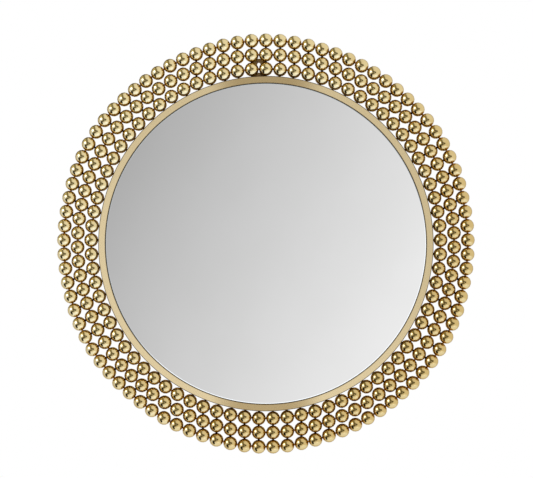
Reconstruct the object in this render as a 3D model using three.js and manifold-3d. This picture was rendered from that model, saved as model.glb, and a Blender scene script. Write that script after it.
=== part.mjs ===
// Round wall mirror: a flat disc of silvered glass in a deep brushed gold rim, with three rows of
// polished gold balls welded round it and a keyhole plate behind the balls to hang it by.
// Millimetres. +Z is up, the front faces -Y, and the origin is the centre of the back, in the
// plane of the wall. Angles are measured from +X towards +Z, as seen from the front.

import * as THREE from 'three';
import { mergeVertices } from 'three/addons/utils/BufferGeometryUtils.js';
import Module from 'manifold-3d';

// ---- Driving dimensions ------------------------------------------------------------------

const CLEARANCE = 0.3; // left between pieces that touch

// Rim: a rectangular tube rolled into a hoop, narrow face to the front.
const SIGHT_DIAMETER = 610; // glass that shows inside the rim
const RIM_FACE = 13.2;
const RIM_DEPTH = 25;
const RIM_CORNER = 1.6; // outside corner radius of the tube
const RIM_CORNER_FLAT = 0.4; // share of the corner that its one facet leaves as a crisp edge

// Glass and the board behind it.
const GLASS_THICKNESS = 4;
const GLASS_PLAY = 1.2; // radial gap round the glass
const GLASS_ARRIS = 1; // polished 45 degree edge
const BOARD_THICKNESS = 16;
const BOARD_PLAY = 0.8; // radial gap round the board
const PAD_THICKNESS = 1.2;
const PAD_DIAMETER = 70;
const PAD_RING_RADIUS = 185;
const OUTER_PADS = 4;

// Tabs welded inside the rim, let into the back of the board and screwed to it.
const TABS = 6;
const TAB_WIDTH = 30;
const TAB_LENGTH = 26;
const TAB_THICKNESS = 2;
const TAB_CORNER = 6;
const TAB_HOLE_INSET = 11; // hole centre from the inner end of the tab
const REBATE_PLAY = 0.5; // gap round a tab in its rebate

// Countersunk wood screws.
const SCREW_HEAD_DIAMETER = 7;
const SCREW_HEAD_HEIGHT = 1.9;
const SCREW_SHANK_DIAMETER = 3;
const SCREW_LENGTH = 13;
const SCREW_POINT = 3;
const SCREW_PLAY = 0.35; // gap round the screw in tab and board

// Balls.
const BALL_DIAMETER = 26.8;
const BALL_SPACING = BALL_DIAMETER + CLEARANCE; // centre to centre, across a weld
const WELD_WAIST_DIAMETER = 5;
const STRINGS_PER_ROW = 12; // welded strings that make up a row
const ROWS = [
  { name: 'inner_balls', count: 77 },
  { name: 'middle_balls', count: 83 },
  { name: 'outer_balls', count: 89 },
];

// Keyhole plate, butt-welded to the outside of the rim a little left of the top, where its slot
// shows between two balls of the inner row.
const PLATE_CENTRE_X = -13.5;
const PLATE_WIDTH = 28;
const PLATE_TOP = 352.7;
const PLATE_THICKNESS = 2;
const PLATE_CORNER = 3.5;
const KEYHOLE_SLOT_WIDTH = 6;
const KEYHOLE_TOP = 344.9;
const KEYHOLE_ENTRY_DIAMETER = 11;
const KEYHOLE_ENTRY_Z = 331.5;

// Facets.
const HOOP_SEGMENTS = 72;
const HOLE_SEGMENTS = 12;
const PAD_SEGMENTS = 20;
const CORNER_SEGMENTS = 3;
const EQUATOR_SIDES = 8; // sides of a ball where it is widest
const SHOULDER_SIDES = 4; // sides of a ball halfway to each weld, and of the weld itself

// ---- Worked out from them ----------------------------------------------------------------

const RIM_INSIDE = SIGHT_DIAMETER / 2;
const RIM_OUTSIDE = RIM_INSIDE + RIM_FACE;
const BALL_RADIUS = BALL_DIAMETER / 2;
const BALL_PLANE = -(PLATE_THICKNESS + CLEARANCE + BALL_RADIUS); // y of the ball centres
const GLASS_BACK = -(BOARD_THICKNESS + PAD_THICKNESS + 2 * CLEARANCE);
const GLASS_FRONT = GLASS_BACK - GLASS_THICKNESS;
const TAB_INNER = RIM_INSIDE - CLEARANCE - TAB_LENGTH;
const SCREW_RADIUS = TAB_INNER + TAB_HOLE_INSET; // screw centres from the mirror's centre

// ---- Materials ---------------------------------------------------------------------------

function finish(name, color, roughness, metalness) {
  const material = new THREE.MeshStandardMaterial({ color, roughness, metalness });
  material.name = name;
  return material;
}

const brushedGold = finish('brushed_gold', 0xccb88e, 0.35, 1);
const polishedGold = finish('polished_gold', 0xe3cd94, 0.08, 1);
const silveredGlass = finish('silvered_glass', 0xcfcfcf, 0.03, 1);
const fibreboard = finish('fibreboard', 0x9c7a55, 0.85, 0);
const mirrorAdhesive = finish('mirror_adhesive', 0xe4dfd2, 0.7, 0);
const zincPlate = finish('zinc_plate', 0xb9b4a6, 0.4, 1);

// ---- Tools -------------------------------------------------------------------------------

const wasm = await Module();
wasm.setup();

// A closed geometry as a solid, with its shared corners merged and its slivers dropped.
function toSolid(geometry) {
  const bare = geometry.clone();
  bare.deleteAttribute('normal');
  bare.deleteAttribute('uv');
  const merged = mergeVertices(bare);
  const corners = merged.index.array;
  const triVerts = [];
  for (let i = 0; i < corners.length; i += 3) {
    const [a, b, c] = corners.slice(i, i + 3);
    if (a !== b && b !== c && c !== a) triVerts.push(a, b, c);
  }
  return new wasm.Manifold(new wasm.Mesh({
    numProp: 3,
    vertProperties: merged.attributes.position.array,
    triVerts: new Uint32Array(triVerts),
  }));
}

// A solid back as a geometry with flat facets.
function toGeometry(solid) {
  const { vertProperties, triVerts } = solid.getMesh();
  const geometry = new THREE.BufferGeometry();
  geometry.setAttribute('position', new THREE.BufferAttribute(vertProperties, 3));
  geometry.setIndex(new THREE.BufferAttribute(triVerts, 1));
  return geometry.toNonIndexed();
}

// One geometry with others cut out of it.
function cut(geometry, cutters) {
  const solid = cutters.reduce((rest, cutter) => rest.subtract(toSolid(cutter)), toSolid(geometry));
  return toGeometry(solid);
}

// Radius and y pairs turned round the mirror's axis.
function turned(profile, segments) {
  const points = profile.map(([radius, y]) => new THREE.Vector2(radius, y));
  return new THREE.LatheGeometry(points, segments);
}

// An outline drawn in x and z, given its thickness forward from y = 0.
function plate(outline, thickness) {
  const options = { depth: thickness, bevelEnabled: false, curveSegments: CORNER_SEGMENTS };
  return new THREE.ExtrudeGeometry(outline, options).rotateX(Math.PI / 2);
}

function named(name, geometry, material) {
  const mesh = new THREE.Mesh(geometry, material);
  mesh.name = name;
  return mesh;
}

// Turns a mesh made on the +X side of the mirror to an angle round its axis.
function turnedTo(mesh, angle) {
  mesh.rotation.y = -angle;
  return mesh;
}

// ---- Rim, glass and board ----------------------------------------------------------------

// The rolled tube: a rectangle whose four outside corners are drawn as narrow flats.
function rim() {
  const c = RIM_CORNER * (1 - RIM_CORNER_FLAT);
  const front = -RIM_DEPTH;
  const profile = [
    [RIM_INSIDE, -c],
    [RIM_INSIDE, front + c],
    [RIM_INSIDE + c, front],
    [RIM_OUTSIDE - c, front],
    [RIM_OUTSIDE, front + c],
    [RIM_OUTSIDE, -c],
    [RIM_OUTSIDE - c, 0],
    [RIM_INSIDE + c, 0],
    [RIM_INSIDE, -c],
  ];
  return named('rim', turned(profile, HOOP_SEGMENTS), brushedGold);
}

// Flat glass with a polished arris round the front edge.
function mirrorGlass() {
  const radius = RIM_INSIDE - GLASS_PLAY;
  const profile = [
    [0, GLASS_FRONT],
    [radius - GLASS_ARRIS, GLASS_FRONT],
    [radius, GLASS_FRONT + GLASS_ARRIS],
    [radius, GLASS_BACK],
    [0, GLASS_BACK],
  ];
  return named('mirror_glass', turned(profile, HOOP_SEGMENTS), silveredGlass);
}

// Dabs of mastic between the glass and the board: one in the middle, the others round it.
function gluePads() {
  const back = -(BOARD_THICKNESS + CLEARANCE);
  const front = back - PAD_THICKNESS;
  const disc = [[0, front], [PAD_DIAMETER / 2, front], [PAD_DIAMETER / 2, back], [0, back]];
  const pads = [];
  for (let i = 0; i <= OUTER_PADS; i += 1) {
    const pad = named(`glue_pad_${i + 1}`, turned(disc, PAD_SEGMENTS), mirrorAdhesive);
    if (i > 0) {
      const angle = ((i - 0.5) * 2 * Math.PI) / OUTER_PADS;
      pad.position.set(PAD_RING_RADIUS * Math.cos(angle), 0, PAD_RING_RADIUS * Math.sin(angle));
    }
    pads.push(pad);
  }
  return pads;
}

// Outline of a tab on the +X side, widened by some play: its outer end follows the rim.
function tabOutline(outerRadius, play) {
  const inner = TAB_INNER - play;
  const half = TAB_WIDTH / 2 + play;
  const corner = TAB_CORNER + play;
  const sweep = Math.asin(half / outerRadius);
  const outline = new THREE.Shape();
  outline.moveTo(inner, -half + corner);
  outline.absarc(inner + corner, -half + corner, corner, Math.PI, 1.5 * Math.PI, false);
  outline.absarc(0, 0, outerRadius, -sweep, sweep, false);
  outline.absarc(inner + corner, half - corner, corner, 0.5 * Math.PI, Math.PI, false);
  return outline;
}

// Countersunk screw on the +X side, or the hole for it when widened by some play. Its profile
// is turned round the screw's own axis and then moved out to where the screw sits.
function screwForm(play, headOverrun) {
  const head = SCREW_HEAD_DIAMETER / 2 + play;
  const shank = SCREW_SHANK_DIAMETER / 2 + play;
  const tip = -(SCREW_LENGTH + play);
  const profile = [
    [0, tip],
    [shank, tip + SCREW_POINT],
    [shank, -SCREW_HEAD_HEIGHT],
    [head, 0],
  ];
  if (headOverrun > 0) profile.push([head, headOverrun]);
  profile.push([0, headOverrun]);
  return turned(profile, HOLE_SEGMENTS).translate(SCREW_RADIUS, 0, 0);
}

const tabAngle = (i) => (i * 2 * Math.PI) / TABS;

// The board, with a rebate for each tab and a hole for each screw.
function backBoard() {
  const radius = RIM_INSIDE - BOARD_PLAY;
  const disc = [[0, -BOARD_THICKNESS], [radius, -BOARD_THICKNESS], [radius, 0], [0, 0]];
  const overrun = 1;
  const cutters = [];
  for (let i = 0; i < TABS; i += 1) {
    const pocket = plate(tabOutline(RIM_OUTSIDE, REBATE_PLAY), TAB_THICKNESS + CLEARANCE + overrun);
    const hole = screwForm(SCREW_PLAY, overrun);
    cutters.push(pocket.translate(0, overrun, 0).rotateY(-tabAngle(i)));
    cutters.push(hole.rotateY(-tabAngle(i)));
  }
  return named('back_board', cut(turned(disc, HOOP_SEGMENTS), cutters), fibreboard);
}

function boardTabs() {
  const blank = plate(tabOutline(RIM_INSIDE - CLEARANCE, 0), TAB_THICKNESS);
  const overrun = 1;
  const form = cut(blank, [screwForm(SCREW_PLAY, overrun)]);
  const tabs = [];
  for (let i = 0; i < TABS; i += 1) {
    tabs.push(turnedTo(named(`board_tab_${i + 1}`, form.clone(), brushedGold), tabAngle(i)));
  }
  return tabs;
}

function tabScrews() {
  const screws = [];
  for (let i = 0; i < TABS; i += 1) {
    const screw = named(`tab_screw_${i + 1}`, screwForm(0, 0), zincPlate);
    screws.push(turnedTo(screw, tabAngle(i)));
  }
  return screws;
}

// ---- Keyhole plate -----------------------------------------------------------------------

// Upright plate with rounded top corners. Its foot follows the outside of the rim.
function hangerPlate() {
  const left = PLATE_CENTRE_X - PLATE_WIDTH / 2;
  const right = PLATE_CENTRE_X + PLATE_WIDTH / 2;
  const foot = RIM_OUTSIDE + CLEARANCE;
  const footRight = Math.acos(right / foot);
  const footLeft = Math.acos(left / foot);
  const cornerZ = PLATE_TOP - PLATE_CORNER;
  const outline = new THREE.Shape();
  outline.absarc(0, 0, foot, footLeft, footRight, true);
  outline.absarc(right - PLATE_CORNER, cornerZ, PLATE_CORNER, 0, 0.5 * Math.PI, false);
  outline.absarc(left + PLATE_CORNER, cornerZ, PLATE_CORNER, 0.5 * Math.PI, Math.PI, false);
  outline.holes.push(keyhole());
  const options = { depth: PLATE_THICKNESS, bevelEnabled: false, curveSegments: HOLE_SEGMENTS };
  const geometry = new THREE.ExtrudeGeometry(outline, options).rotateX(Math.PI / 2);
  return named('hanger_plate', geometry, brushedGold);
}

// A round entry for the screw head, with a slot above it that drops over the screw's neck.
function keyhole() {
  const slot = KEYHOLE_SLOT_WIDTH / 2;
  const entry = KEYHOLE_ENTRY_DIAMETER / 2;
  const mouth = Math.acos(slot / entry);
  const path = new THREE.Path();
  path.absarc(PLATE_CENTRE_X, KEYHOLE_ENTRY_Z, entry, Math.PI - mouth, 2 * Math.PI + mouth, false);
  path.absarc(PLATE_CENTRE_X, KEYHOLE_TOP - slot, slot, 0, Math.PI, false);
  path.closePath();
  return path;
}

// ---- Balls -------------------------------------------------------------------------------

// The angle of ball k in a row: each row is even, with a gap at the very bottom.
const ballAngle = (k, count) => ((k + 0.5) * 2 * Math.PI) / count - Math.PI / 2;

// How far out a ball at an angle sits: against the rim or the nearest ball of the row inside it,
// but never so close in that its own row would be too tight.
function seatRadius(angle, count, inside) {
  const onRim = RIM_OUTSIDE + CLEARANCE + BALL_RADIUS;
  const tightest = BALL_SPACING / 2 / Math.sin(Math.PI / count);
  const seats = inside.map((ball) => {
    const across = ball.radius * Math.sin(angle - ball.angle);
    const along = ball.radius * Math.cos(angle - ball.angle);
    const reaches = along > 0 && Math.abs(across) < BALL_SPACING;
    return reaches ? along + Math.sqrt(BALL_SPACING ** 2 - across ** 2) : 0;
  });
  return Math.max(onRim, tightest, ...seats);
}

// All rows from the rim outwards, each ball as an angle and a radius.
function laidOutRows() {
  const rows = [];
  let inside = [];
  for (const { name, count } of ROWS) {
    const balls = [];
    for (let k = 0; k < count; k += 1) {
      const angle = ballAngle(k, count);
      balls.push({ angle, radius: seatRadius(angle, count, inside) });
    }
    rows.push({ name, balls });
    inside = balls;
  }
  return rows;
}

// A ring of corners square to the row, at a distance along the row from a point on it.
function section({ angle, radius }, along, size, sides) {
  const outward = new THREE.Vector3(Math.cos(angle), 0, Math.sin(angle));
  const onward = new THREE.Vector3(-Math.sin(angle), 0, Math.cos(angle));
  const back = new THREE.Vector3(0, 1, 0);
  const centre = outward.clone().multiplyScalar(radius).addScaledVector(onward, along);
  centre.y = BALL_PLANE;
  const ring = [];
  for (let i = 0; i < sides; i += 1) {
    const turn = (i * 2 * Math.PI) / sides;
    const corner = centre.clone().addScaledVector(outward, size * Math.cos(turn));
    ring.push(corner.addScaledVector(back, size * Math.sin(turn)));
  }
  return ring;
}

// The point of the row halfway between two neighbouring balls, where they are welded.
function weldBetween(a, b) {
  const x = (a.radius * Math.cos(a.angle) + b.radius * Math.cos(b.angle)) / 2;
  const z = (a.radius * Math.sin(a.angle) + b.radius * Math.sin(b.angle)) / 2;
  return { angle: Math.atan2(z, x), radius: Math.hypot(x, z) };
}

// The skin between two rings of corners, which may have different numbers of corners.
function bridge(corners, a, b) {
  let i = 0;
  let j = 0;
  while (i < a.length || j < b.length) {
    const aIsNext = (i + 0.5) / a.length <= (j + 0.5) / b.length;
    const here = [a[i % a.length], b[j % b.length]];
    if (aIsNext) {
      i += 1;
      if (a.length > 1) corners.push(here[0], a[i % a.length], here[1]);
    } else {
      j += 1;
      if (b.length > 1) corners.push(here[0], b[j % b.length], here[1]);
    }
  }
}

// Balls welded in a string, as one closed skin that narrows to a waist at each weld.
function ballString(balls) {
  const shoulder = BALL_RADIUS * Math.SQRT1_2;
  const rings = [section(balls[0], -BALL_RADIUS, 0, 1)];
  balls.forEach((ball, k) => {
    rings.push(section(ball, -shoulder, shoulder, SHOULDER_SIDES));
    rings.push(section(ball, 0, BALL_RADIUS, EQUATOR_SIDES));
    rings.push(section(ball, shoulder, shoulder, SHOULDER_SIDES));
    if (k < balls.length - 1) {
      const weld = weldBetween(ball, balls[k + 1]);
      rings.push(section(weld, 0, WELD_WAIST_DIAMETER / 2, SHOULDER_SIDES));
    }
  });
  rings.push(section(balls[balls.length - 1], BALL_RADIUS, 0, 1));
  const corners = [];
  for (let i = 1; i < rings.length; i += 1) bridge(corners, rings[i - 1], rings[i]);
  return new THREE.BufferGeometry().setFromPoints(corners);
}

// Every row, split into the strings that it is welded up from.
function ballRows() {
  const strings = [];
  for (const { name, balls } of laidOutRows()) {
    for (let i = 0; i < STRINGS_PER_ROW; i += 1) {
      const first = Math.ceil((i * balls.length) / STRINGS_PER_ROW);
      const next = Math.ceil(((i + 1) * balls.length) / STRINGS_PER_ROW);
      const number = String(i + 1).padStart(2, '0');
      const geometry = ballString(balls.slice(first, next));
      geometry.computeVertexNormals();
      strings.push(named(`${name}_${number}`, geometry, polishedGold));
    }
  }
  return strings;
}

// ---- The mirror --------------------------------------------------------------------------

const mirror = new THREE.Group();
mirror.name = 'beaded_wall_mirror';
mirror.add(rim(), mirrorGlass(), ...gluePads(), backBoard());
mirror.add(...boardTabs(), ...tabScrews(), hangerPlate(), ...ballRows());

export default mirror;
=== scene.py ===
"""Fine meshes, finishes, light and camera for a round wall mirror framed by three rows of balls.

A flat silvered glass sits in a deep brushed gold rim. Round the rim run three rows of polished
gold balls, welded to each other and to the rim, and a keyhole plate behind them carries it all.
Metres, +Z up. The front faces -Y and the wall is the plane y = 0. Angles run from +X to +Z.
"""

import logging
import math
from dataclasses import dataclass, field
from enum import Enum
from functools import cache

import bmesh
import bpy
from mathutils import Matrix, Vector


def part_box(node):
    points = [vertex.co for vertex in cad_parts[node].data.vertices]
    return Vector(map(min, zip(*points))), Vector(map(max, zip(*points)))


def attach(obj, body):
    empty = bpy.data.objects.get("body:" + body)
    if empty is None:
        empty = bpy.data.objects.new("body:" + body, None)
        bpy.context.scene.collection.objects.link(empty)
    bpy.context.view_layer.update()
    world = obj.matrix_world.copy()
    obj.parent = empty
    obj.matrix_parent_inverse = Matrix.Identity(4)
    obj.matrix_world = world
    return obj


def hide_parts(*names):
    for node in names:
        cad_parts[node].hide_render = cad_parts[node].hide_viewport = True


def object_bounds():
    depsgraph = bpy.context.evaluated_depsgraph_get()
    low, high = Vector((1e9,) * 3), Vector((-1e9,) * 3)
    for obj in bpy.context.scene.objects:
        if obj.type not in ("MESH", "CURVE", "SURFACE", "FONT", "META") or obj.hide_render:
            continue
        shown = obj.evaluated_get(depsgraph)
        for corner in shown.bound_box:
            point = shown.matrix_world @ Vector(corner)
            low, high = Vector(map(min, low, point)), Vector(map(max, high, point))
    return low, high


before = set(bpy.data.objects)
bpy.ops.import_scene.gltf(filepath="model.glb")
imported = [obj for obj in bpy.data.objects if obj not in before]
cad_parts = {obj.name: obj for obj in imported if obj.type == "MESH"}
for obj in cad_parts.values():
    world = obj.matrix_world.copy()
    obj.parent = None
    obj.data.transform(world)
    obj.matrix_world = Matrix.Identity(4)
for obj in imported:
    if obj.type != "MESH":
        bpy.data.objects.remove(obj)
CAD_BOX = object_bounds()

LOG = logging.getLogger("mirror")
MM = 0.001
ROOT = "root"
WAIST = "from_waist"

Socket = bpy.types.NodeSocket
Node = bpy.types.Node
Point = tuple[float, float]
Spot = tuple[float, float, float]


# ---- Sizes ----------------------------------------------------------------------------------


@dataclass(frozen=True)
class HoopSizes:
    """Sizes of the rim, the glass and what is inside the rim, in metres."""

    sight_radius: float = 305.0 * MM
    face: float = 13.2 * MM
    depth: float = 25.0 * MM
    corner: float = 1.6 * MM
    glass_play: float = 0.4 * MM
    glass_arris: float = 0.9 * MM

    @property
    def outer_radius(self) -> float:
        """Radius of the outside of the rim."""
        return self.sight_radius + self.face


@dataclass(frozen=True)
class BallSizes:
    """Sizes of the balls and of the welds between them, in metres."""

    radius: float = 13.4 * MM
    gap: float = 0.3 * MM
    plane: float = -15.7 * MM
    weld_waist: float = 1.7 * MM
    weld_flare: float = 2.6 * MM
    weld_overlap: float = 0.35 * MM
    weld_limit: float = 1.0 * MM

    @property
    def spacing(self) -> float:
        """Distance between the centres of two balls that are welded together."""
        return 2 * self.radius + self.gap


class Row(Enum):
    """The three rows of balls, from the rim outwards, with how many balls each has."""

    INNER = 77
    MIDDLE = 83
    OUTER = 89

    @property
    def label(self) -> str:
        """The row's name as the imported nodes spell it."""
        return self.name.lower()


STRINGS_PER_ROW = 12

HOOP = HoopSizes()
BALLS = BallSizes()

SAME_SPOT = 1e-6
FLAT_ANGLE = math.radians(1.0)
SHARP_ANGLE = math.radians(40.0)
BALL_CREASE = 80.0


# ---- Node trees -----------------------------------------------------------------------------


class Tree:
    """A shader node tree with short ways to add nodes and join them."""

    def __init__(self, tree: bpy.types.NodeTree) -> None:
        """Empties the tree.

        Args:
            tree: the node tree of a material or world.
        """
        self.tree = tree
        tree.nodes.clear()

    def add(self, kind: str, **settings: object) -> Node:
        """Adds a node.

        Args:
            kind: Blender's node type.
            settings: properties to set on the node.

        Returns:
            The new node.
        """
        node = self.tree.nodes.new(kind)
        for name, value in settings.items():
            setattr(node, name, value)
        return node

    def feed(self, node: Node, socket: object, value: object) -> None:
        """Sets an input to a number, or joins it to another node's output.

        Args:
            node: the node that has the input.
            socket: the input's name or number.
            value: a number, a tuple or an output socket.
        """
        target = node.inputs[socket]
        if isinstance(value, Socket):
            self.tree.links.new(value, target)
        else:
            target.default_value = value

    def math(self, operation: str, a: object, b: object = 0.0) -> Socket:
        """Joins one or two values by arithmetic.

        Args:
            operation: Blender's name for it, such as MULTIPLY.
            a: first number or output.
            b: second number or output.

        Returns:
            The result's output socket.
        """
        node = self.add("ShaderNodeMath", operation=operation)
        self.feed(node, 0, a)
        self.feed(node, 1, b)
        return node.outputs[0]

    def between(self, share: object, a: object, b: object) -> Socket:
        """A number between two others: the first where the share is 0, the second where it is 1."""
        node = self.add("ShaderNodeMix", data_type="FLOAT")
        self.feed(node, 0, share)
        self.feed(node, 2, a)
        self.feed(node, 3, b)
        return node.outputs[0]

    def vector(self, operation: str, a: object, b: object = (0.0, 0.0, 0.0)) -> Socket:
        """Joins one or two vectors by arithmetic.

        Args:
            operation: Blender's name for it, such as ADD.
            a: first vector or output.
            b: second vector or output.

        Returns:
            The resulting vector's output socket.
        """
        node = self.add("ShaderNodeVectorMath", operation=operation)
        self.feed(node, 0, a)
        self.feed(node, 1, b)
        return node.outputs["Vector"]

    def axes(self, vector: Socket) -> list[Socket]:
        """The three parts of a vector."""
        node = self.add("ShaderNodeSeparateXYZ")
        self.feed(node, 0, vector)
        return list(node.outputs)

    def length(self, vector: Socket) -> Socket:
        """The length of a vector."""
        node = self.add("ShaderNodeVectorMath", operation="LENGTH")
        self.feed(node, 0, vector)
        return node.outputs["Value"]

    def reach(self, place: Socket) -> Socket:
        """How far a place is from the mirror's axis."""
        return self.length(self.vector("MULTIPLY", place, (1.0, 0.0, 1.0)))

    def distance(self, spot: Socket, start: Point, end: Point) -> Socket:
        """How far a spot in the plane of X and Z is from a straight stroke.

        Args:
            spot: the spot.
            start: one end of the stroke, as x and z.
            end: its other end.

        Returns:
            The distance's output socket.
        """
        stroke = Vector((end[0] - start[0], 0.0, end[1] - start[1]))
        reach = self.vector("SUBTRACT", spot, (start[0], 0.0, start[1]))
        along = self.add("ShaderNodeVectorMath", operation="DOT_PRODUCT")
        self.feed(along, 0, reach)
        self.feed(along, 1, stroke / stroke.length_squared)
        share = self.math("MINIMUM", self.math("MAXIMUM", along.outputs["Value"], 0.0), 1.0)
        nearest = self.add("ShaderNodeVectorMath", operation="SCALE")
        self.feed(nearest, 0, stroke)
        self.feed(nearest, "Scale", share)
        return self.length(self.vector("SUBTRACT", reach, nearest.outputs["Vector"]))

    def remap(self, value: object, low: float, high: float, start: float = 0.0, end: float = 1.0) -> Socket:
        """Carries a value smoothly from one span to another, held at both ends.

        Args:
            value: number or output to carry over.
            low: start of the span it comes from.
            high: end of that span.
            start: result at low, 0 unless given.
            end: result at high, 1 unless given.

        Returns:
            The result's output socket.
        """
        node = self.add("ShaderNodeMapRange", interpolation_type="SMOOTHSTEP")
        self.feed(node, "Value", value)
        for name, number in (("From Min", low), ("From Max", high), ("To Min", start), ("To Max", end)):
            self.feed(node, name, number)
        return node.outputs[0]

    def noise(self, vector: object, scale: float, detail: float = 3.0, rough: float = 0.5) -> Socket:
        """Adds a noise pattern.

        Args:
            vector: the coordinates it is laid out on.
            scale: its scale in those coordinates.
            detail: its number of finer layers.
            rough: how much the finer layers count.

        Returns:
            The value's output socket.
        """
        node = self.add("ShaderNodeTexNoise")
        self.feed(node, "Vector", vector)
        self.feed(node, "Scale", scale)
        self.feed(node, "Detail", detail)
        self.feed(node, "Roughness", rough)
        return node.outputs[0]

    def blend(self, share: object, a: object, b: object) -> Socket:
        """Mixes two colours.

        Args:
            share: how much of the second one shows.
            a: first colour or output.
            b: second colour or output.

        Returns:
            The colour's output socket.
        """
        node = self.add("ShaderNodeMix", data_type="RGBA")
        self.feed(node, 0, share)
        self.feed(node, 6, a)
        self.feed(node, 7, b)
        return node.outputs[2]

    def bump(self, height: object, strength: float, distance: float) -> Socket:
        """Turns a height pattern into a tilted normal.

        Args:
            height: the pattern.
            strength: its strength, from 0 to 1.
            distance: its full height in metres.

        Returns:
            The normal's output socket.
        """
        node = self.add("ShaderNodeBump")
        self.feed(node, "Height", height)
        self.feed(node, "Strength", strength)
        self.feed(node, "Distance", distance)
        return node.outputs[0]


def colour(red: int, green: int, blue: int) -> tuple[float, float, float, float]:
    """Turns a colour as it shows on screen, 0 to 255, into the linear one that shaders take."""
    shown = (channel / 255 for channel in (red, green, blue))
    linear = [c / 12.92 if c <= 0.04045 else ((c + 0.055) / 1.055) ** 2.4 for c in shown]
    return (*linear, 1.0)


# ---- Finishes -------------------------------------------------------------------------------


@dataclass(frozen=True)
class Finish:
    """A surface finish that makes one material."""

    name: str

    @cache
    def material(self) -> bpy.types.Material:
        """Makes the material once, and gives the same one after that."""
        made = bpy.data.materials.new(self.name)
        made.use_nodes = True
        tree = Tree(made.node_tree)
        shader = tree.add("ShaderNodeBsdfPrincipled")
        output = tree.add("ShaderNodeOutputMaterial")
        tree.feed(output, "Surface", shader.outputs[0])
        place = tree.add("ShaderNodeTexCoord").outputs["Object"]
        self.dress(tree, shader, place)
        return made

    def dress(self, tree: Tree, shader: Node, place: Socket) -> None:
        """Sets the shader up. Each finish has its own way.

        Args:
            tree: the material's node tree.
            shader: its surface shader.
            place: the Object coordinates.
        """
        raise NotImplementedError


@dataclass(frozen=True)
class PolishedGold(Finish):
    """Mirror-bright pale gold plating over pressed steel. It is a little dented, as pressed balls
    are. Painted shade makes it darker and browner round the waist of each ball, where the balls
    meet, and painted light makes it paler towards the upper left."""

    # bright and deep are the two ends of painted light across the balls; the brown below them is their
    # painted waist shade.
    bright: tuple = colour(246, 226, 171)
    deep: tuple = colour(226, 197, 131)
    waist_shade: tuple = colour(172, 141, 72)
    waist_shade_span: Point = (0.3, 0.7)
    most: float = 0.92
    outer_side: Point = (384.0 * MM, 392.0 * MM)
    outer_shade_share: Point = (0.38, 0.92)
    upper_left: Point = (0.4, 0.53)

    def dress(self, tree: Tree, shader: Node, place: Socket) -> None:
        """See Finish.dress."""
        x, _, z = tree.axes(place)
        # Painted light: paler towards the upper left, deeper towards the lower right.
        leftward = tree.math("MULTIPLY", tree.math("SUBTRACT", z, x), 1.1)
        slant = tree.math("ADD", leftward, tree.noise(place, 45.0, 2.0))
        gold = tree.blend(tree.remap(slant, 0.0, 1.0), self.deep, self.bright)
        # Painted shade and painted reflection: brown round each ball's waist, where the balls meet, in its
        # colour and in the tint of its reflections.
        share = self.waist_shade_share(tree, place)
        tree.feed(shader, "Base Color", tree.blend(share, gold, self.waist_shade))
        tree.feed(shader, "Specular Tint", tree.blend(share, (1.0, 1.0, 1.0, 1.0), self.waist_shade))
        swirl = tree.noise(place, 420.0, 4.0, 0.65)
        tree.feed(shader, "Roughness", tree.remap(swirl, 0.3, 0.75, 0.001, 0.0035))
        tree.feed(shader, "Metallic", 1.0)
        dents = tree.noise(place, 150.0, 1.0)
        tree.feed(shader, "Normal", tree.bump(dents, 0.25, 0.0006))

    def waist_shade_share(self, tree: Tree, place: Socket) -> Socket:
        """How much painted shade a spot takes: most round a ball's waist, and less on the outer side of
            the outer row, except at the upper left."""
        from_waist = tree.add("ShaderNodeAttribute", attribute_name=WAIST).outputs["Fac"]
        waist = tree.remap(from_waist, *self.waist_shade_span, self.most, 0.0)
        x, _, z = tree.axes(place)
        there = tree.remap(tree.math("SUBTRACT", z, x), *self.upper_left, *self.outer_shade_share)
        outside = tree.remap(tree.reach(place), *self.outer_side)
        return tree.math("MULTIPLY", waist, tree.between(outside, 1.0, there))


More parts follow.
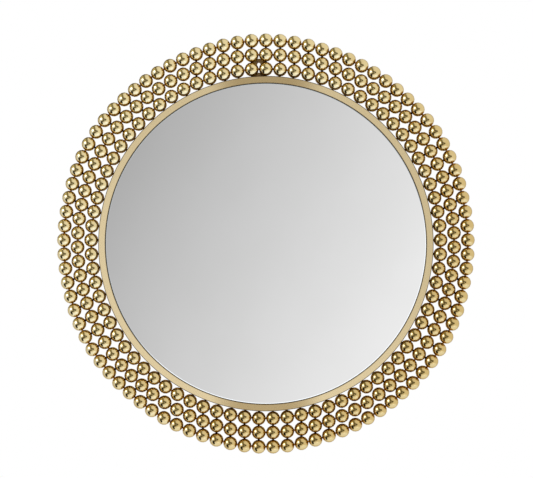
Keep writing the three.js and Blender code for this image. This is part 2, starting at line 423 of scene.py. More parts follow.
@dataclass(frozen=True)
class BrushedGold(Finish):
    """Satin pale gold plating, brushed round the hoop, so that its lines follow circles. Painted shade
    darkens it at the top and bottom, where the lines run level and would turn away from the light.
    Painted light makes it paler below and to the left, and painted shade darkens its front corners
    next to the balls and the glass."""

    # low and high are the ends of painted light on the hoop: paler below and to the left, darker at the
    # upper right.
    low: tuple = colour(214, 195, 153)
    high: tuple = colour(199, 180, 138)
    level_painted_shade: Spot = (0.62, 0.565, 0.46)
    level_shade_span: Point = (0.935, 0.992)
    groove: tuple = colour(58, 38, 16)
    groove_width: float = 1.8 * MM
    groove_end: float = 0.7 * MM
    inner_corner_shade: float = 0.8
    inner_corner_shade_span: Point = (0.3 * MM, 1.3 * MM)
    groove_depth: Point = (2.4 * MM, 4.0 * MM)
    lean: float = 0.6
    painted_light_span: Point = (-0.05, 0.37)
    fine_pitch: float = 2600.0
    coarse_pitch: float = 620.0
    drift: float = 5.0

    def dress(self, tree: Tree, shader: Node, place: Socket) -> None:
        """See Finish.dress."""
        fine = self.brushing(tree, place, self.fine_pitch)
        coarse = self.brushing(tree, place, self.coarse_pitch)
        lines = tree.between(0.5, fine, coarse)
        cloud = tree.noise(place, 14.0, 3.0)
        streak = tree.math("ADD", tree.math("MULTIPLY", lines, 0.2), tree.math("MULTIPLY", cloud, 0.12))
        x, _, z = tree.axes(place)
        # Painted light: paler below and to the left, darker at the upper right, with the brushing streaks
        # in it.
        height = tree.math("ADD", tree.math("ADD", z, tree.math("MULTIPLY", x, self.lean)), streak)
        plating = tree.blend(tree.remap(height, *self.painted_light_span), self.low, self.high)
        # Painted shade at the top and bottom of the hoop.
        painted_turned_away = tree.vector("MULTIPLY", plating, self.level_painted_shade)
        plating = tree.blend(self.level(tree, place), plating, painted_turned_away)
        # Painted shade along the rim's front corners, next to the balls and the glass.
        tree.feed(shader, "Base Color", tree.blend(self.painted_corner_shade(tree, place), plating, self.groove))
        tree.feed(shader, "Roughness", tree.remap(lines, 0.3, 0.7, 0.32, 0.38))
        tree.feed(shader, "Metallic", 0.5)
        tree.feed(shader, "Anisotropic", 0.85)
        tree.feed(shader, "Anisotropic Rotation", 0.25)
        tangent = tree.add("ShaderNodeTangent", direction_type="RADIAL", axis="Y")
        tree.feed(shader, "Tangent", tangent.outputs[0])
        tree.feed(shader, "Normal", tree.bump(lines, 0.12, 0.0001))

    def level(self, tree: Tree, place: Socket) -> Socket:
        """How level the brushed lines run at a spot: 1 at the top and bottom of the hoop, where the painted
        shade falls.
        """
        around = tree.vector("NORMALIZE", tree.vector("MULTIPLY", place, (1.0, 0.0, 1.0)))
        upright = tree.math("ABSOLUTE", tree.axes(around)[2])
        return tree.remap(upright, *self.level_shade_span)

    def painted_corner_shade(self, tree: Tree, place: Socket) -> Socket:
        """How much painted shade a spot takes along the rim's front corners, next to balls and glass."""
        reach = tree.reach(place)
        starts = HOOP.outer_radius - self.groove_width
        outer = tree.remap(reach, starts, HOOP.outer_radius - self.groove_end)
        inner_span = (HOOP.sight_radius + width for width in self.inner_corner_shade_span)
        inner = tree.remap(reach, *inner_span, self.inner_corner_shade, 0.0)
        front_span = (depth - HOOP.depth for depth in self.groove_depth)
        front = tree.remap(tree.axes(place)[1], *front_span, 1.0, 0.0)
        return tree.math("MULTIPLY", tree.math("MAXIMUM", outer, inner), front)

    def brushing(self, tree: Tree, place: Socket, pitch: float) -> Socket:
        """Lines that run round the Y axis: they change quickly with radius and depth, slowly with angle.

        Args:
            tree: the material's node tree.
            place: the Object coordinates.
            pitch: how many lines there are to a metre, roughly.

        Returns:
            The pattern's output socket.
        """
        x, y, z = tree.axes(place)
        radius = tree.reach(place)
        along = tree.add("ShaderNodeCombineXYZ")
        tree.feed(along, 0, tree.math("MULTIPLY", radius, pitch))
        tree.feed(along, 1, tree.math("MULTIPLY", y, pitch))
        tree.feed(along, 2, tree.math("MULTIPLY", tree.math("ARCTAN2", z, x), self.drift))
        return tree.noise(along.outputs[0], 1.0, 2.0, 0.5)


@dataclass(frozen=True)
class SilveredGlass(Finish):
    """Clear glass silvered behind: a true mirror, with a pale polished arris, in painted shade at the upper
    left. Seen aslant it blurs a little, as thick glass does, and shows only the plain walls. Seen aslant
    it also darkens, partly as thick glass does and partly as painted shade."""

    silver: tuple = (0.935, 0.935, 0.935, 1.0)
    hazy: tuple = (0.92, 0.92, 0.918, 1.0)
    aslant: tuple = (0.55, 0.55, 0.55, 1.0)
    slant: Point = (0.012, 0.04)
    slant_blur: float = 0.03
    arris: tuple = colour(236, 242, 248)
    arris_shaded: tuple = colour(150, 156, 158)
    arris_blur: float = 0.12
    arris_dulls: float = 0.78 * MM
    shade_span: Point = (-0.15, -0.02)

    def dress(self, tree: Tree, shader: Node, place: Socket) -> None:
        """See Finish.dress."""
        clear_radius = HOOP.sight_radius - HOOP.glass_play - HOOP.glass_arris - self.arris_dulls
        edge = tree.remap(tree.reach(place), clear_radius - 0.1 * MM, clear_radius + 0.1 * MM)
        haze = tree.noise(place, 7.0, 3.0)
        silver = tree.blend(tree.remap(haze, 0.35, 0.65), self.silver, self.hazy)
        # Darker seen aslant: partly as thick glass is, partly painted shade.
        facing = tree.add("ShaderNodeLayerWeight").outputs["Facing"]
        aslant = tree.remap(facing, *self.slant)
        silver = tree.blend(aslant, silver, self.aslant)
        x, _, z = tree.axes(place)
        height = tree.math("SUBTRACT", z, tree.math("MULTIPLY", x, 0.5))
        arris = tree.blend(tree.remap(height, *self.shade_span), self.arris, self.arris_shaded)
        tree.feed(shader, "Base Color", tree.blend(edge, silver, arris))
        tree.feed(shader, "Metallic", 1.0)
        smear = tree.remap(haze, 0.3, 0.7, 0.001, 0.0035)
        edge_blur = tree.math("MULTIPLY", edge, self.arris_blur)
        blur = tree.math("MAXIMUM", edge_blur, tree.math("MULTIPLY", aslant, self.slant_blur))
        tree.feed(shader, "Roughness", tree.math("MAXIMUM", smear, blur))


@dataclass(frozen=True)
class Grain:
    """A cloudy pattern: its scale, its number of finer layers and how much they count."""

    scale: float
    detail: float = 4.0
    rough: float = 0.6

    def lay(self, tree: Tree, place: Socket) -> Socket:
        """Lays the pattern out on a material's coordinates."""
        return tree.noise(place, self.scale, self.detail, self.rough)


@dataclass(frozen=True)
class Mottled(Finish):
    """Two tones in a fine grain over broader patches. Roughness and bumps follow the grain."""

    first: tuple
    second: tuple
    grain: Grain
    span: Point
    roughness: Point
    bumps: Point | None = None
    metallic: float = 0.0
    patch: Grain = Grain(24.0, rough=0.5)
    patch_share: float = 0.0

    def dress(self, tree: Tree, shader: Node, place: Socket) -> None:
        """See Finish.dress."""
        grain = self.grain.lay(tree, place)
        tone = tree.between(self.patch_share, grain, self.patch.lay(tree, place))
        share = tree.remap(tone, *self.span)
        tree.feed(shader, "Base Color", tree.blend(share, self.first, self.second))
        tree.feed(shader, "Roughness", tree.remap(grain, 0.3, 0.7, *self.roughness))
        tree.feed(shader, "Metallic", self.metallic)
        if self.bumps:
            tree.feed(shader, "Normal", tree.bump(grain, *self.bumps))


@dataclass(frozen=True)
class StudioFloor(Finish):
    """Pale seamless floor that runs out into white. It doesn't show from below, and what shines shows
    the room below it instead."""

    pale: tuple = colour(252, 252, 252)
    scuffed: tuple = colour(247, 247, 247)
    runs_out: Point = (0.5, 1.3)

    def dress(self, tree: Tree, shader: Node, place: Socket) -> None:
        """See Finish.dress."""
        tree.feed(shader, "Base Color", tree.blend(tree.noise(place, 3.0), self.pale, self.scuffed))
        tree.feed(shader, "Roughness", 0.8)
        tree.feed(shader, "Specular IOR Level", 0.2)
        rays = tree.add("ShaderNodeLightPath")
        reach = tree.length(tree.vector("MULTIPLY", place, (1.0, 1.0, 0.0)))
        laid = tree.remap(reach, *self.runs_out, 1.0, 0.0)
        under = tree.add("ShaderNodeNewGeometry").outputs["Backfacing"]
        hidden = tree.math("MAXIMUM", rays.outputs["Is Glossy Ray"], under)
        tree.feed(shader, "Alpha", tree.math("MULTIPLY", tree.math("SUBTRACT", 1.0, hidden), laid))


POLISHED_GOLD = PolishedGold("buffed_gold_plate")
BRUSHED_GOLD = BrushedGold("satin_gold_plate")
SILVERED_GLASS = SilveredGlass("silver_backed_glass")
STUDIO_FLOOR = StudioFloor("studio_floor")

# Plating over a weld is rougher than on a ball. The welds between rows and to the rim are dark partly with
# scale and partly as painted shade where the balls meet.
WELD_GOLD = Mottled(
    "plated_weld", colour(250, 216, 146), colour(214, 172, 104), Grain(900.0),
    span=(0.4, 0.62), roughness=(0.3, 0.5), bumps=(0.6, 0.0003), metallic=0.4,
)
# Partly weld scale, partly painted shade where the balls meet.
SCALED_SHADED_WELD = Mottled(
    "scaled_and_shaded_weld", colour(120, 92, 52), colour(64, 46, 26), Grain(900.0),
    span=(0.4, 0.62), roughness=(0.3, 0.5), bumps=(0.6, 0.0003), metallic=0.4,
)
# Gold plating painted dark as shade, for the plate behind the balls, brown in its pits.
SHADED_GOLD = Mottled(
    "shaded_gold_plate", colour(88, 64, 30), colour(150, 120, 66), Grain(1400.0, 3.0),
    span=(0.38, 0.6), roughness=(0.34, 0.5), bumps=(0.3, 0.00012), metallic=0.4,
    patch=Grain(160.0), patch_share=0.6,
)
# Raw pressed fibreboard: fine pale and dark fibres in a warm brown.
FIBREBOARD = Mottled(
    "pressed_fibreboard", colour(128, 98, 66), colour(176, 144, 104), Grain(700.0, 5.0, 0.75),
    span=(0.38, 0.62), roughness=(0.72, 0.88), bumps=(0.5, 0.0002), patch_share=0.15,
)
# Cream mirror adhesive, squeezed flat.
MASTIC = Mottled(
    "mirror_mastic", colour(232, 226, 212), colour(206, 198, 182), Grain(120.0, 3.0, 0.5),
    span=(0.0, 1.0), roughness=(0.5, 0.7), bumps=(0.4, 0.0005),
)
# Zinc plated screw steel with a faint yellow passivation.
ZINC_PLATE = Mottled(
    "zinc_plated_steel", colour(206, 202, 190), colour(168, 160, 138), Grain(500.0, rough=0.5),
    span=(0.35, 0.65), roughness=(0.24, 0.42), metallic=1.0,
)


# ---- Mesh tools -----------------------------------------------------------------------------


def piece(name: str, bm: bmesh.types.BMesh, finish: Finish, crease: float = 35.0) -> bpy.types.Object:
    """Turns a bmesh into a shaded object in the scene.

    Args:
        name: the object's name.
        bm: its shape, freed here.
        finish: what it is finished in.
        crease: edges sharper than this many degrees stay crisp.

    Returns:
        The new object, at the origin.
    """
    for face in bm.faces:
        face.smooth = True
    for edge in bm.edges:
        edge.smooth = edge.is_manifold and edge.calc_face_angle(0.0) < math.radians(crease)
    mesh = bpy.data.meshes.new(name)
    bm.to_mesh(mesh)
    bm.free()
    mesh.materials.append(finish.material())
    made = bpy.data.objects.new(name, mesh)
    bpy.context.scene.collection.objects.link(made)
    return made


def fit(made: bpy.types.Object, slot: str, *nodes: str) -> None:
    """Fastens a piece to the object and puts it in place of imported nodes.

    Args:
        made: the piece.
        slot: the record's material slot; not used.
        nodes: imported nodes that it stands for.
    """
    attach(made, ROOT)
    if nodes:
        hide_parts(*nodes)
    stands_for = ", ".join(nodes) or "nothing"
    LOG.info("%s: %d faces, in place of %s", made.name, len(made.data.polygons), stands_for)


def spun(
    profile: list[Point], steps: int, sweep: float = 2 * math.pi, start: float = 0.0,
) -> bmesh.types.BMesh:
    """Turns an outline round the mirror's axis.

    Args:
        profile: corners as radius and y, open or closing on the axis or on itself.
        steps: steps round the sweep.
        sweep: angle swept, in radians.
        start: angle of the first section.

    Returns:
        The turned surface, closed if the sweep is full and the outline closes.
    """
    bm = bmesh.new()
    corners = [bm.verts.new((radius, y, 0.0)) for radius, y in profile]
    for a, b in zip(corners, corners[1:]):
        bm.edges.new((a, b))
    full = abs(sweep - 2 * math.pi) < 1e-6
    bmesh.ops.rotate(bm, verts=corners, cent=(0, 0, 0), matrix=Matrix.Rotation(-start, 3, "Y"))
    bmesh.ops.spin(
        bm, geom=bm.verts[:] + bm.edges[:], cent=(0, 0, 0), axis=(0, -1, 0), dvec=(0, 0, 0),
        angle=sweep, steps=steps, use_merge=full, use_normal_flip=False, use_duplicate=False,
    )
    bmesh.ops.remove_doubles(bm, verts=bm.verts[:], dist=1e-7)
    return bm


def outward(bm: bmesh.types.BMesh) -> bmesh.types.BMesh:
    """Points every face of a closed shape outwards."""
    bmesh.ops.recalc_face_normals(bm, faces=bm.faces[:])
    return bm


def rounded_box(low: Point, high: Point, corner: float, steps: int) -> list[Point]:
    """A closed rectangle with round corners, as radius and y.

    Args:
        low: its corner nearest the axis and the front.
        high: the corner opposite.
        corner: corner radius.
        steps: steps round each corner.

    Returns:
        The outline, ending where it starts.
    """
    centres = [
        (high[0] - corner, high[1] - corner), (low[0] + corner, high[1] - corner),
        (low[0] + corner, low[1] + corner), (high[0] - corner, low[1] + corner),
    ]
    points = []
    for quarter, (cx, cy) in enumerate(centres):
        for step in range(steps + 1):
            turn = (quarter + step / steps) * math.pi / 2
            points.append((cx + corner * math.cos(turn), cy + corner * math.sin(turn)))
    return [*points, points[0]]


def weigh_normals(made: bpy.types.Object) -> None:
    """Keeps broad flats flat beside small round corners."""
    modifier = made.modifiers.new("flats", "WEIGHTED_NORMAL")
    modifier.keep_sharp = True


def softened_copy(node: str, name: str, finish: Finish, edge: float, segments: int = 2) -> bpy.types.Object:
    """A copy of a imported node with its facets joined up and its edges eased.

    Args:
        node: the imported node.
        name: the copy's name.
        finish: what it is finished in.
        edge: width of the eased edge.
        segments: steps across it.

    Returns:
        The new piece.
    """
    bm = bmesh.new()
    bm.from_mesh(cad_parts[node].data)
    bmesh.ops.remove_doubles(bm, verts=bm.verts[:], dist=SAME_SPOT)
    bmesh.ops.dissolve_limit(bm, angle_limit=FLAT_ANGLE, verts=bm.verts[:], edges=bm.edges[:])
    sharp = [e for e in bm.edges if e.is_manifold and e.calc_face_angle(0.0) > SHARP_ANGLE]
    bmesh.ops.bevel(
        bm, geom=sharp, offset=edge, offset_type="OFFSET", affect="EDGES", segments=segments,
        profile=0.5, material=-1, clamp_overlap=True,
    )
    made = piece(name, bm, finish)
    weigh_normals(made)
    return made


# ---- The rim and what it holds --------------------------------------------------------------


@dataclass
class Rim:
    """The rolled tube hoop, brushed round."""

    sizes: HoopSizes = HOOP
    steps: int = 288
    corner_steps: int = 5

    def build(self) -> None:
        """Makes the hoop."""
        low = (self.sizes.sight_radius, -self.sizes.depth)
        high = (self.sizes.outer_radius, 0.0)
        profile = rounded_box(low, high, self.sizes.corner, self.corner_steps)
        made = piece("rim_hoop", outward(spun(profile, self.steps)), BRUSHED_GOLD)
        weigh_normals(made)
        fit(made, "brushed_gold", "rim")


@dataclass
class Glass:
    """The mirror itself, flat, with a polished arris."""

    sizes: HoopSizes = HOOP
    steps: int = 240
    edge_steps: int = 6

    def build(self) -> None:
        """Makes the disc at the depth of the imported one."""
        low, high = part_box("mirror_glass")
        radius = self.sizes.sight_radius - self.sizes.glass_play
        arris = self.sizes.glass_arris
        turns = [step * math.pi / 2 / self.edge_steps for step in range(self.edge_steps + 1)]
        edge = [(radius - arris * (1 - math.sin(t)), low.y + arris * (1 - math.cos(t))) for t in turns]
        profile = [(0.0, low.y), *edge, (radius, high.y), (0.0, high.y)]
        made = piece("glass_disc", outward(spun(profile, self.steps)), SILVERED_GLASS)
        weigh_normals(made)
        fit(made, "silvered_glass", "mirror_glass")


@dataclass
class Backing:
    """The fibreboard, its mastic pads, its tabs and their screws, all behind the glass."""

    tabs: int = 6
    pads: int = 5
    tab_edge: float = 0.35 * MM
    board_edge: float = 0.4 * MM
    seam_width: float = 1.1 * MM
    seam_in_rim: float = 0.2
    seam_corner: float = 0.3 * MM
    seam_below_face: float = 0.05 * MM
    tab_half_width: float = 15.0 * MM

    def build(self) -> None:
        """Makes or dresses every piece behind the glass."""
        board = softened_copy("back_board", "fibreboard_disc", FIBREBOARD, self.board_edge, 1)
        fit(board, "fibreboard", "back_board")
        for number in range(1, self.pads + 1):
            self.dress_pad(number)
        for number in range(1, self.tabs + 1):
            tab = softened_copy(f"board_tab_{number}", f"tab_plate_{number}", BRUSHED_GOLD, self.tab_edge)
            fit(tab, "brushed_gold", f"board_tab_{number}")
            self.seam(number)
            ScrewHead(number).build()

    def dress_pad(self, number: int) -> None:
        """Gives a packed pad, whose shape stays, its finish."""
        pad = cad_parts[f"glue_pad_{number}"]
        pad.data.materials.clear()
        pad.data.materials.append(MASTIC.material())

    def seam(self, number: int) -> None:
        """The weld that joins a tab to the rim, ground flush with both.

        Args:
            number: the tab's number, from 1.
        """
        middle = (number - 1) * 2 * math.pi / self.tabs
        half = math.asin(self.tab_half_width / HOOP.sight_radius)
        outer = HOOP.sight_radius + self.seam_in_rim * self.seam_width
        low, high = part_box(f"board_tab_{number}")
        near = (outer - self.seam_width, low.y)
        profile = rounded_box(near, (outer, high.y - self.seam_below_face), self.seam_corner, 2)
        bm = spun(profile, 24, 2 * half, middle - half)
        bmesh.ops.holes_fill(bm, edges=[e for e in bm.edges if e.is_boundary], sides=0)
        fit(piece(f"tab_seam_{number}", outward(bm), WELD_GOLD), "brushed_gold")


@dataclass
class ScrewHead:
    """A countersunk screw with a cross recess, in a tab."""

    number: int
    head_radius: float = 3.5 * MM
    head_height: float = 1.9 * MM
    head_inset: float = 0.15 * MM
    head_ease: float = 0.1 * MM
    shank_radius: float = 1.5 * MM
    length: float = 13.0 * MM
    point: float = 3.0 * MM
    cross_length: float = 4.0 * MM
    cross_width: float = 0.9 * MM
    cross_depth: float = 1.1 * MM
    cross_taper: float = 0.45
    turn_between: float = 0.7

    def build(self) -> None:
        """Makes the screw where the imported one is."""
        low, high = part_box(f"tab_screw_{self.number}")
        centre = (low + high) / 2
        head = self.head_radius - self.head_inset
        profile = [
            (0.0, -self.length), (self.shank_radius, self.point - self.length),
            (self.shank_radius, -self.head_height), (head, -self.head_ease),
            (head - self.head_ease, 0.0), (0.0, 0.0),
        ]
        made = piece(f"screw_{self.number}", outward(spun(profile, 32)), ZINC_PLATE)
        self.cut_cross(made)
        turn = Matrix.Rotation(self.turn_between * self.number, 4, "Y")
        made.data.transform(Matrix.Translation((centre.x, 0.0, centre.z)) @ turn)
        fit(made, "zinc_plate", f"tab_screw_{self.number}")

    def cut_cross(self, made: bpy.types.Object) -> None:
        """Cuts the driver recess into the head."""
        for index, size in enumerate(((1.0, 0.0), (0.0, 1.0))):
            bm = bmesh.new()
            bmesh.ops.create_cube(bm, size=1.0)
            across = [self.cross_width + (self.cross_length - self.cross_width) * share for share in size]
            bmesh.ops.scale(bm, vec=(across[0], 2 * self.cross_depth, across[1]), verts=bm.verts[:])
            for vert in bm.verts:
                if vert.co.y < 0:
                    vert.co.x *= self.cross_taper
                    vert.co.z *= self.cross_taper
            cutter = piece(f"cross_cutter_{index}", bm, ZINC_PLATE)
            modifier = made.modifiers.new("cross", "BOOLEAN")
            modifier.operation = "DIFFERENCE"
            modifier.object = cutter
            self.apply(made)
            bpy.data.objects.remove(cutter)

    def apply(self, made: bpy.types.Object) -> None:
        """Makes the modifiers' result the piece's own mesh."""
        bpy.context.view_layer.update()
        result = bpy.data.meshes.new_from_object(made.evaluated_get(bpy.context.evaluated_depsgraph_get()))
        made.modifiers.clear()
        made.data = result


@dataclass
class Hanger:
    """The keyhole plate and the weld at its foot."""

    edge: float = 0.4 * MM
    bead_radius: float = 1.1 * MM
    bead_steps: int = 40
    bead_sides: int = 10
    bead_out: float = 0.2 * MM
    bead_forward: float = 0.1 * MM
    ripple: float = 0.12
    ripple_rate: float = 2.4 / MM

    def build(self) -> None:
        """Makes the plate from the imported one, and the bead in front of its foot."""
        # The plate's dark gold is painted shade.
        plate = softened_copy("hanger_plate", "keyhole_plate", SHADED_GOLD, self.edge, 3)
        fit(plate, "brushed_gold", "hanger_plate")
        low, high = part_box("hanger_plate")
        start = math.acos(high.x / HOOP.outer_radius)
        end = math.acos(low.x / HOOP.outer_radius)
        centre = (HOOP.outer_radius + self.bead_out, low.y - self.bead_forward)
        turns = [step * 2 * math.pi / self.bead_sides for step in range(self.bead_sides + 1)]
        size = self.bead_radius
        ring = [(centre[0] + size * math.cos(turn), centre[1] + size * math.sin(turn)) for turn in turns]
        bm = spun(ring, self.bead_steps, end - start, start)
        bmesh.ops.holes_fill(bm, edges=[e for e in bm.edges if e.is_boundary], sides=0)
        for vert in bm.verts:
            ripple = 1.0 + self.ripple * math.sin(self.ripple_rate * vert.co.x)
            vert.co.y = centre[1] + (vert.co.y - centre[1]) * ripple
        fit(piece("hanger_weld", outward(bm), WELD_GOLD), "brushed_gold")


# ---- The balls ------------------------------------------------------------------------------


@dataclass(frozen=True)
class Ball:
    """Where one ball sits: its angle round the mirror and the distance of its centre from the axis."""

    angle: float
    radius: float

    @property
    def centre(self) -> Vector:
        """The ball's centre in space."""
        return Vector((self.radius * math.cos(self.angle), BALLS.plane, self.radius * math.sin(self.angle)))


@dataclass
class BallRows:
    """All three rows: every ball rests against the nearest balls of the row inside it."""

    sizes: BallSizes = BALLS
    ball_cuts: int = 3
    weld_sides: int = 8
    weld_straight: float = 0.9
    rows: dict[Row, list[Ball]] = field(default_factory=dict)

    def __post_init__(self) -> None:
        """Seats every ball."""
        inside: list[Ball] = []
        for row in Row:
            balls = []
            for k in range(row.value):
                angle = (k + 0.5) * 2 * math.pi / row.value - math.pi / 2
                balls.append(Ball(angle, self.seat(angle, row.value, inside)))
            self.rows[row] = balls
            inside = balls

    def seat(self, angle: float, count: int, inside: list[Ball]) -> float:
        """How far out a ball at an angle sits.

        Args:
            angle: the ball's angle.
            count: how many balls its row has.
            inside: the row inside it, empty for the row on the rim.

        Returns:
            The distance of its centre from the mirror's axis.
        """
        on_rim = HOOP.outer_radius + self.sizes.gap + self.sizes.radius
        seats = [on_rim, self.sizes.spacing / 2 / math.sin(math.pi / count)]
        for ball in inside:
            across = ball.radius * math.sin(angle - ball.angle)
            along = ball.radius * math.cos(angle - ball.angle)
            if along > 0 and abs(across) < self.sizes.spacing:
                seats.append(along + math.sqrt(self.sizes.spacing**2 - across**2))
        return max(seats)

    def build(self) -> None:
        """Makes every string of balls and every weld."""
        sphere = self.sphere_mesh()
        weld = self.weld_mesh()
        inside: list[Ball] = []
        for row, balls in self.rows.items():
            for number in range(STRINGS_PER_ROW):
                first = math.ceil(number * row.value / STRINGS_PER_ROW)
                last = math.ceil((number + 1) * row.value / STRINGS_PER_ROW)
                self.string(row, number + 1, balls[first:last], sphere)
            self.row_welds(row, balls, inside, weld)
            inside = balls
        bpy.data.meshes.remove(sphere)
        bpy.data.meshes.remove(weld)

    def sphere_mesh(self) -> bpy.types.Mesh:
        """One ball, as a cube subdivided and blown up round. Each spot knows how far its waist is."""
        bm = bmesh.new()
        bmesh.ops.create_cube(bm, size=2.0)
        bmesh.ops.subdivide_edges(bm, edges=bm.edges[:], cuts=self.ball_cuts, use_grid_fill=True)
        waist = bm.verts.layers.float.new(WAIST)
        for vert in bm.verts:
            even = Vector([math.tan(c * math.pi / 4) for c in vert.co]).normalized()
            vert.co = even * self.sizes.radius
            vert[waist] = abs(even.y)
        return self.stored("ball_pattern", bm)

    def weld_mesh(self) -> bpy.types.Mesh:
        """One weld along the Y axis, 2 long: a waist that flares into the balls at both ends."""
        flare, waist, end = self.sizes.weld_flare, self.sizes.weld_waist, self.weld_straight
        profile = [(0.0, -1.0), (flare, -end), (waist, 0.0), (flare, end), (0.0, 1.0)]
        return self.stored("weld_pattern", outward(spun(profile, self.weld_sides)))

    def stored(self, name: str, bm: bmesh.types.BMesh) -> bpy.types.Mesh:
        """Keeps a shape as a mesh to copy from."""
        mesh = bpy.data.meshes.new(name)
        bm.to_mesh(mesh)
        bm.free()
        return mesh

    def string(self, row: Row, number: int, balls: list[Ball], sphere: bpy.types.Mesh) -> None:
        """Makes one string of balls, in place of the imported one.

        Args:
            row: the row it belongs to.
            number: its number in the row, from 1.
            balls: its balls.
            sphere: the ball to copy.
        """
        places = [Matrix.Translation(b.centre) @ Matrix.Rotation(-b.angle, 4, "Y") for b in balls]
        name = f"{row.label}_string_{number:02d}"
        made = piece(name, self.copies(sphere, places), POLISHED_GOLD, BALL_CREASE)
        fit(made, "polished_gold", f"{row.label}_balls_{number:02d}")

    def row_welds(self, row: Row, balls: list[Ball], inside: list[Ball], weld: bpy.types.Mesh) -> None:
        """Makes the welds of a row: ball to ball, and darker ones, partly painted shade, to the row inside
        it or to the rim.

        Args:
            row: the row.
            balls: its balls.
            inside: the balls of the row inside it, empty at the rim.
            weld: the weld to copy.
        """
        radius = self.sizes.radius
        along = []
        across = []
        for here, after in zip(balls, balls[1:] + balls[:1]):
            along.append(self.bead(here.centre, after.centre, radius))
            near = [other for other in inside if self.meet(here, other)]
            across += [self.bead(here.centre, other.centre, radius) for other in near]
            if not inside:
                wall = here.centre * (HOOP.outer_radius / here.radius)
                wall.y = here.centre.y
                across.append(self.bead(here.centre, wall, 0.0))
        for kind, places, finish in (("welds", along, WELD_GOLD), ("ties", across, SCALED_SHADED_WELD)):
            made = piece(f"{row.label}_{kind}", self.copies(weld, places), finish, BALL_CREASE)
            fit(made, "polished_gold")

    def meet(self, here: Ball, other: Ball) -> bool:
        """Whether two balls are near enough for a weld to bridge them."""
        gap = (here.centre - other.centre).length - 2 * self.sizes.radius
        return gap < self.sizes.weld_limit

    def bead(self, ball: Vector, other: Vector, other_radius: float) -> Matrix:
        """Where a weld goes, and how long it is.

        Args:
            ball: centre of a ball.
            other: centre of the ball next to it, or the nearest point of the rim.
            other_radius: radius of what is there, 0 for the rim.

        Returns:
            The matrix that takes the pattern to its place.
        """
        towards = (other - ball).normalized()
        start = ball + towards * (self.sizes.radius - self.sizes.weld_overlap)
        end = other - towards * (other_radius - self.sizes.weld_overlap)
        turn = towards.to_track_quat("Y", "Z").to_matrix().to_4x4()
        stretch = Matrix.Diagonal((1.0, (end - start).length / 2, 1.0, 1.0))
        return Matrix.Translation((start + end) / 2) @ turn @ stretch

    def copies(self, pattern: bpy.types.Mesh, places: list[Matrix]) -> bmesh.types.BMesh:
        """Copies of a mesh at several places, in one bmesh."""
        bm = bmesh.new()
        for place in places:
            done = len(bm.verts)
            bm.from_mesh(pattern)
            bm.verts.ensure_lookup_table()
            bmesh.ops.transform(bm, matrix=place, verts=bm.verts[done:])
        return bm


# ---- Studio ---------------------------------------------------------------------------------


class Light(Enum):
    """What light falls on a card: that of the window, or what is left in the shade."""

    DAY = (0.9, 1.0, 1.28)
    SHADE = (1.1, 1.0, 0.62)


@dataclass(frozen=True)
class Card:
    """A light or dark card round the camera, placed by where a polished ball shows it.

    A ball shows the whole room: in its middle what is behind the camera, at its edge what is behind
    the ball. Places and widths are shares of the ball's radius, from its middle to the right and up.
    """

    start: Point
    end: Point
    half_width: float
    soft: float
    level: float
    light: Light

    @property
    def colour(self) -> Spot:
        """The card's colour, over 1 where it is brighter than white paper."""
        return tuple(self.level * channel for channel in self.light.value)


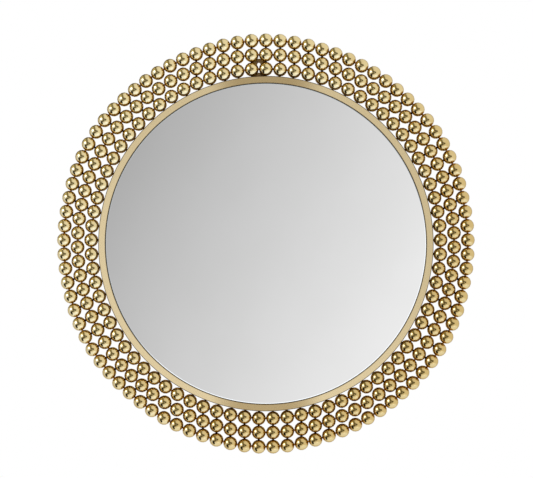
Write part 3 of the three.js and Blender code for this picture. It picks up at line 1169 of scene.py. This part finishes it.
@dataclass(frozen=True)
class Studio:
    """A plain white room. What shines shows its cards: a softbox, pale walls and the dark gaps between."""

    floor_level: float = -0.62
    floor_radius: float = 1.35
    ambient: float = 0.78
    walls: Point = (0.64, 0.84)
    walls_turn: Point = (-0.35, 0.25)
    behind: float = 0.8
    behind_turn: Point = (0.3, 0.9)
    second_look_front: Spot = (0.9, 0.8, 0.6)
    second_look_behind: Spot = (0.6, 0.48, 0.3)
    second_look_turn: Point = (-0.35, 0.25)
    soft_walls: Point = (1.5, 1.15)
    soft_turn: Point = (-0.1, 0.1)
    soft_sides: float = 0.78
    soft_sides_turn: Point = (0.08, 0.4)
    glass_level: float = 0.675
    glass_slope: Point = (2.5, -1.43)
    glass_view: Point = (0.043, 0.058)
    cards: tuple[Card, ...] = (
        Card((-0.2, 0.96), (-0.94, 0.34), 0.06, 0.12, 0.25, Light.SHADE),
        Card((-0.5, 0.5), (-0.45, 0.45), 0.12, 0.2, 0.48, Light.SHADE),
        Card((-0.06, -0.56), (0.46, -0.48), 0.12, 0.22, 1.1, Light.DAY),
        Card((0.18, -0.36), (0.34, -0.3), 0.02, 0.06, 1.4, Light.DAY),
        Card((-0.64, -0.24), (-0.56, 0.04), 0.06, 0.12, 0.78, Light.DAY),
        Card((-0.3, 0.74), (-0.13, 0.18), 0.05, 0.13, 0.2, Light.SHADE),
        Card((-0.1, 0.14), (0.18, 0.06), 0.06, 0.11, 0.12, Light.SHADE),
        Card((0.08, 0.02), (-0.36, -0.2), 0.07, 0.1, 0.12, Light.SHADE),
        Card((-0.44, -0.26), (-0.32, -0.5), 0.09, 0.06, 0.005, Light.SHADE),
        Card((-0.48, 0.17), (-0.47, 0.22), 0.07, 0.07, 4.0, Light.DAY),
    )

    def build(self) -> None:
        """Makes the world, the lamps and the floor."""
        self.world()
        self.lamp("key", place=(-1.9, -2.6, 2.3), size=1.4, power=22.0)
        self.lamp("back_fill", place=(1.6, 2.8, 1.6), size=1.6, power=22.0)
        bm = bmesh.new()
        bmesh.ops.create_circle(bm, cap_ends=True, segments=96, radius=self.floor_radius)
        bmesh.ops.translate(bm, vec=(0, 0, self.floor_level), verts=bm.verts[:])
        piece("floor", bm, STUDIO_FLOOR)

    def world(self) -> None:
        """Plain white to the camera, plain soft light to what is dull, and the room to what shines."""
        world = bpy.data.worlds.new("studio")
        bpy.context.scene.world = world
        world.use_nodes = True
        tree = Tree(world.node_tree)
        rays = tree.add("ShaderNodeLightPath").outputs
        direction = tree.add("ShaderNodeTexCoord").outputs["Generated"]
        tilted = tree.vector("NORMALIZE", tree.vector("ADD", direction, (0.0, -1.0, 0.0)))
        spot = tree.vector("MULTIPLY", tilted, (1.0, 0.0, 1.0))
        sharp = self.sharp_room(tree, direction, spot)
        behind = tree.remap(tree.axes(direction)[1], *self.second_look_turn)
        dimmer = tree.blend(behind, (*self.second_look_front, 1.0), (*self.second_look_behind, 1.0))
        again = tree.remap(rays["Glossy Depth"], 1.0, 2.0)
        sharp = tree.blend(again, sharp, tree.vector("MULTIPLY", sharp, dimmer))
        glass = self.glass_room(tree, direction)
        inner, outer = self.glass_view
        sharp = tree.blend(tree.remap(tree.length(spot), inner, outer, 1.0, 0.0), sharp, glass)
        shown = tree.blend(rays["Is Singular Ray"], self.soft_room(tree, spot), sharp)
        plain = tree.remap(rays["Is Camera Ray"], 0.0, 1.0, self.ambient, 1.0)
        background = tree.add("ShaderNodeBackground")
        tree.feed(background, "Color", tree.blend(rays["Is Glossy Ray"], plain, shown))
        output = tree.add("ShaderNodeOutputWorld")
        tree.feed(output, "Surface", background.outputs[0])

    def sharp_room(self, tree: Tree, direction: Socket, spot: Socket) -> Socket:
        """The room as the polished balls show it.

        Args:
            tree: the world's node tree.
            direction: where a reflected ray goes.
            spot: the place on a ball that sends it there, in shares of the ball's radius.

        Returns:
            The colour's output socket.
        """
        level = tree.remap(tree.axes(spot)[0], *self.walls_turn, *self.walls)
        away = tree.remap(tree.axes(direction)[1], *self.behind_turn)
        level = tree.between(away, level, self.behind)
        shown = self.grey(tree, level)
        for card in self.cards:
            share = tree.remap(tree.distance(spot, card.start, card.end),
                               card.half_width, card.half_width + card.soft, 1.0, 0.0)
            shown = tree.blend(share, shown, (*card.colour, 1.0))
        return shown

    def soft_room(self, tree: Tree, spot: Socket) -> Socket:
        """The room as satin metal blurs it: pale, brighter below and dimmer aside.

        Args:
            tree: the world's node tree.
            spot: see sharp_room.

        Returns:
            The colour's output socket.
        """
        level = tree.remap(tree.axes(spot)[2], *self.soft_turn, *self.soft_walls)
        aside = tree.math("ABSOLUTE", tree.axes(spot)[0])
        dimmer = tree.remap(aside, *self.soft_sides_turn, 1.0, self.soft_sides)
        return self.grey(tree, tree.math("MULTIPLY", level, dimmer))

    def glass_room(self, tree: Tree, direction: Socket) -> Socket:
        """The wall that the flat glass shows, shaded from one side to the other.

        Args:
            tree: the world's node tree.
            direction: see sharp_room.

        Returns:
            The colour's output socket.
        """
        x, _, z = tree.axes(direction)
        slope_x, slope_z = self.glass_slope
        slant = tree.math("ADD", tree.math("MULTIPLY", x, slope_x), tree.math("MULTIPLY", z, slope_z))
        return self.grey(tree, tree.math("ADD", slant, self.glass_level))

    def grey(self, tree: Tree, level: Socket) -> Socket:
        """A level as a grey of the same brightness."""
        node = tree.add("ShaderNodeCombineXYZ")
        for channel in range(3):
            tree.feed(node, channel, level)
        return node.outputs[0]

    def lamp(self, name: str, place: Spot, size: float, power: float) -> None:
        """A soft square lamp turned towards the mirror.

        Args:
            name: its name.
            place: where it stands.
            size: length of its sides.
            power: its power in watts.
        """
        data = bpy.data.lights.new(name, "AREA")
        data.shape = "SQUARE"
        data.size = size
        data.energy = power
        made = bpy.data.objects.new(name, data)
        made.location = place
        made.rotation_mode = "QUATERNION"
        made.rotation_quaternion = Vector(place).to_track_quat("Z", "Y")
        made.visible_glossy = False
        bpy.context.scene.collection.objects.link(made)


@dataclass(frozen=True)
class PhotoCamera:
    """The camera square on to the mirror, framed as in the photograph."""

    distance: float = 4.0
    sensor: float = 36.0
    image_width: float = 533.0
    image_height: float = 478.0
    mirror_height: float = 420.4
    mirror_centre: Point = (265.9, 243.6)

    def build(self) -> None:
        """Makes the camera and makes it the scene's own."""
        low, high = CAD_BOX
        pixel = (high.z - low.z) / self.mirror_height
        data = bpy.data.cameras.new("camera")
        data.sensor_width = self.sensor
        data.lens = self.sensor * self.distance / (self.image_width * pixel)
        camera = bpy.data.objects.new("camera", data)
        camera.location = (
            (self.image_width / 2 - self.mirror_centre[0]) * pixel,
            BALLS.plane - self.distance,
            (self.mirror_centre[1] - self.image_height / 2) * pixel,
        )
        camera.rotation_euler = (math.pi / 2, 0.0, 0.0)
        bpy.context.scene.collection.objects.link(camera)
        bpy.context.scene.camera = camera


def main() -> None:
    """Builds the mirror, the studio and the camera, in order."""
    logging.basicConfig(level=logging.INFO, format="%(name)s: %(message)s")
    bpy.context.scene.view_settings.view_transform = "Standard"
    Rim().build()
    Glass().build()
    Backing().build()
    Hanger().build()
    BallRows().build()
    Studio().build()
    PhotoCamera().build()


if __name__ == "__main__":
    main()
